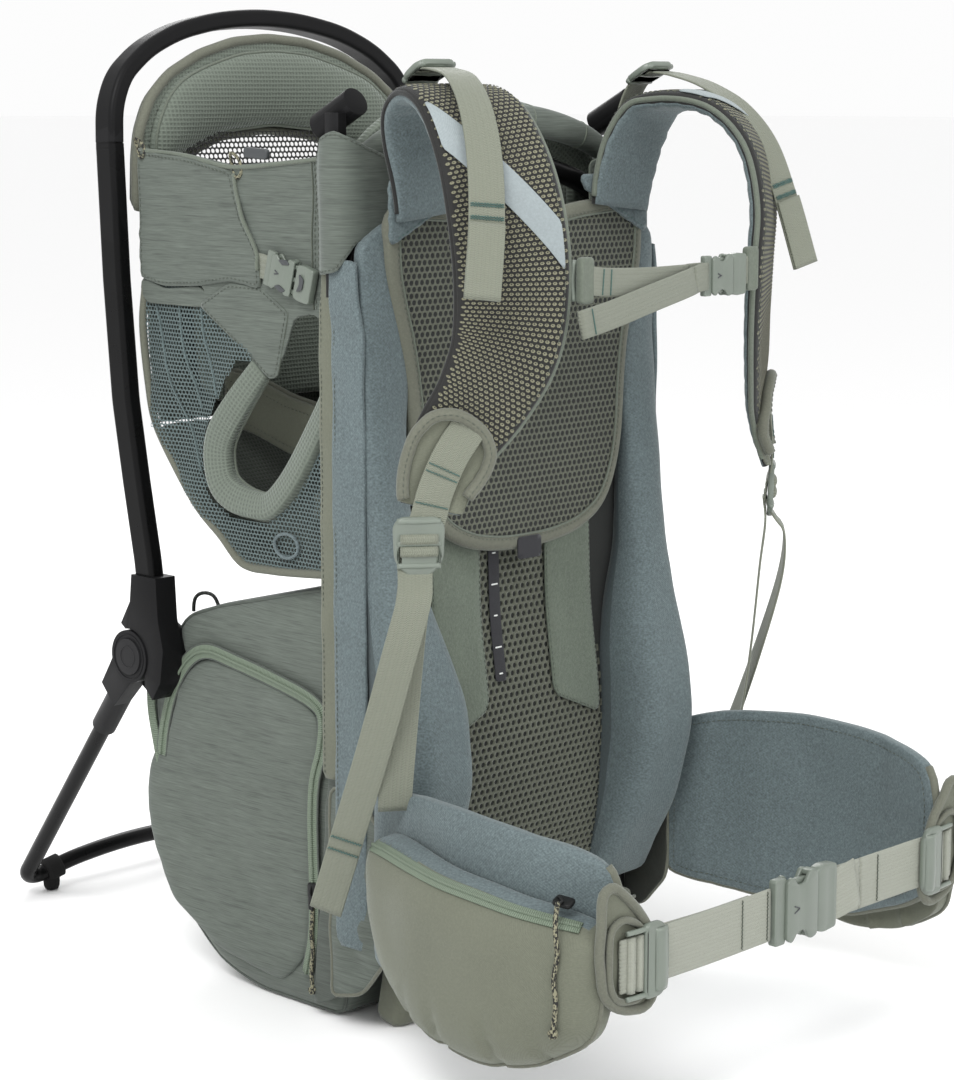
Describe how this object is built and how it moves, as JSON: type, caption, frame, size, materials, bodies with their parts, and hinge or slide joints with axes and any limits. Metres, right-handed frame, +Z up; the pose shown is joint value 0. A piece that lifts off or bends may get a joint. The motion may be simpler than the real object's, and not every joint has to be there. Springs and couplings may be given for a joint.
{
  "type": "child carrier backpack",
  "caption": "Framed backpack that carries a small child behind the wearer, with a padded compartment, storage bag, hip belt and fold-out stand.",
  "frame": {"origin": "on the flat underside of the storage bag, on the left-right symmetry plane", "axes": "+Z up, -Y towards the wearer (shoulder straps and hip belt), +Y towards the stand, X across the body"},
  "size_m": [0.474, 0.7618, 0.755],
  "materials": {
    "black_tube": "satin black powder coat",
    "black_moulding": "fine texture",
    "steel_axle": "plain",
    "button_plastic": "fine texture",
    "foot_rubber": "matt",
    "buckle_green": "semi gloss pale grey green",
    "buckle_dark": "matt dark grey",
    "heather_fabric": "heather grey green weave",
    "blue_fabric": "blue grey weave",
    "sage_waffle": "waffle knit",
    "khaki_mesh": "spacer mesh",
    "khaki_fabric": "plain khaki weave",
    "webbing": "ribbed webbing",
    "zip_green": "coil zip tape",
    "dark_panel": "brushed loop panel",
    "speckled_cord": "braided cord"
  },
  "bodies": {
    "frame": {"adjuster_webbing": "webbing", "back_mesh": "khaki_mesh", "bolster_left": "blue_fabric", "bolster_right": "blue_fabric", "compartment_floor": "sage_waffle", "elastic_loop": "black_moulding", "flap_buckle_sockets": "buckle_dark", "front_frame_tube": "black_tube", "front_pad": "sage_waffle", "grab_handle": "heather_fabric", "headrest": "sage_waffle", "hinge_axles": "steel_axle", "hinge_housings": "black_moulding", "hip_buckle_socket": "buckle_green", "hip_ladder_locks": "buckle_green", "hip_pockets": "khaki_fabric", "hip_webbing": "webbing", "hip_wing_left": "blue_fabric", "hip_wing_right": "blue_fabric", "hook_loop_panels": "dark_panel", "hoop_legs": "black_tube", "hoop_top_arch": "black_moulding", "inner_back_pad": "sage_waffle", "leg_rims": "sage_waffle", "lower_frame": "black_tube", "lumbar_base": "khaki_fabric", "mesh_sides": "blue_fabric", "pole_sleeves": "khaki_fabric", "rear_wall": "sage_waffle", "seat_pad": "sage_waffle", "shade_sockets": "black_moulding", "side_panels": "heather_fabric", "side_pockets": "khaki_fabric", "size_scale_strip": "dark_panel", "storage_bag": "heather_fabric", "zip_tapes": "zip_green"},
    "stand": {"stand_arms": "black_moulding", "stand_tube": "black_tube", "stand_feet": "foot_rubber"},
    "hinge_button_left": {"hinge_button_left": "button_plastic"},
    "hinge_button_right": {"hinge_button_right": "button_plastic"},
    "harness": {"yoke_pad": "khaki_mesh", "shoulder_strap_left": "khaki_mesh", "shoulder_strap_right": "khaki_mesh", "strap_ladder_locks": "buckle_green", "lifter_webbing": "webbing", "adjuster_tails": "webbing"},
    "sternum": {"sternum_sliders": "buckle_green", "sternum_webbing": "webbing", "sternum_buckle_tongue": "buckle_green"},
    "sternum_socket": {"sternum_buckle_socket": "buckle_green"},
    "hip_tongue": {"hip_buckle_tongue": "buckle_green"},
    "flap_tongue_left": {"flap_buckle_tongue_left": "buckle_green"},
    "flap_tongue_right": {"flap_buckle_tongue_right": "buckle_green"},
    "bag_slider_left": {"bag_zip_slider_left": "buckle_dark", "bag_pull_cord": "speckled_cord"},
    "bag_slider_right": {"bag_zip_slider_right": "buckle_dark"},
    "hip_slider_left": {"hip_zip_slider_left": "buckle_dark", "hip_pull_cord": "speckled_cord"},
    "hip_slider_right": {"hip_zip_slider_right": "buckle_dark"}
  },
  "joints": [
    {"name": "stand_fold", "type": "hinge", "parent": "frame", "child": "stand", "pos_m": [0, 0.131, 0.252], "axis": [-1, 0, 0], "range_deg": [0, 31]},
    {"name": "hinge_button_left_press", "type": "slide", "parent": "stand", "child": "hinge_button_left", "axis": [1, 0, 0], "range_m": [0, 0.003], "stiffness_N_per_m": 800},
    {"name": "hinge_button_right_press", "type": "slide", "parent": "stand", "child": "hinge_button_right", "axis": [-1, 0, 0], "range_m": [0, 0.003], "stiffness_N_per_m": 800},
    {"name": "harness_height", "type": "slide", "parent": "frame", "child": "harness", "axis": [0, 0.0499, 0.9988], "range_m": [-0.08, 0.04], "deforming": ["adjuster_webbing", "adjuster_tails"]},
    {"name": "sternum_height", "type": "slide", "parent": "harness", "child": "sternum", "axis": [0, 0, 1], "range_m": [-0.04, 0.03]},
    {"name": "sternum_unclip", "type": "slide", "parent": "sternum", "child": "sternum_socket", "axis": [-1, 0, 0], "range_m": [0, 0.02]},
    {"name": "hip_unclip", "type": "slide", "parent": "frame", "child": "hip_tongue", "axis": [1, 0, 0], "range_m": [0, 0.03]},
    {"name": "flap_unclip_left", "type": "slide", "parent": "frame", "child": "flap_tongue_left", "axis": [0, -0.9651, -0.262], "range_m": [0, 0.014]},
    {"name": "flap_unclip_right", "type": "slide", "parent": "frame", "child": "flap_tongue_right", "axis": [0, -0.9651, -0.262], "range_m": [0, 0.014]},
    {"name": "bag_zip_left", "type": "slide", "parent": "frame", "child": "bag_slider_left", "axis": [0, 0, 1], "range_m": [0, 0.09]},
    {"name": "bag_zip_right", "type": "slide", "parent": "frame", "child": "bag_slider_right", "axis": [0, 0, 1], "range_m": [0, 0.09]},
    {"name": "hip_zip_left", "type": "slide", "parent": "frame", "child": "hip_slider_left", "axis": [-0.2001, 0.9724, 0.12], "range_m": [0, 0.05]},
    {"name": "hip_zip_right", "type": "slide", "parent": "frame", "child": "hip_slider_right", "axis": [0.2001, 0.9724, 0.12], "range_m": [0, 0.05]}
  ]
}
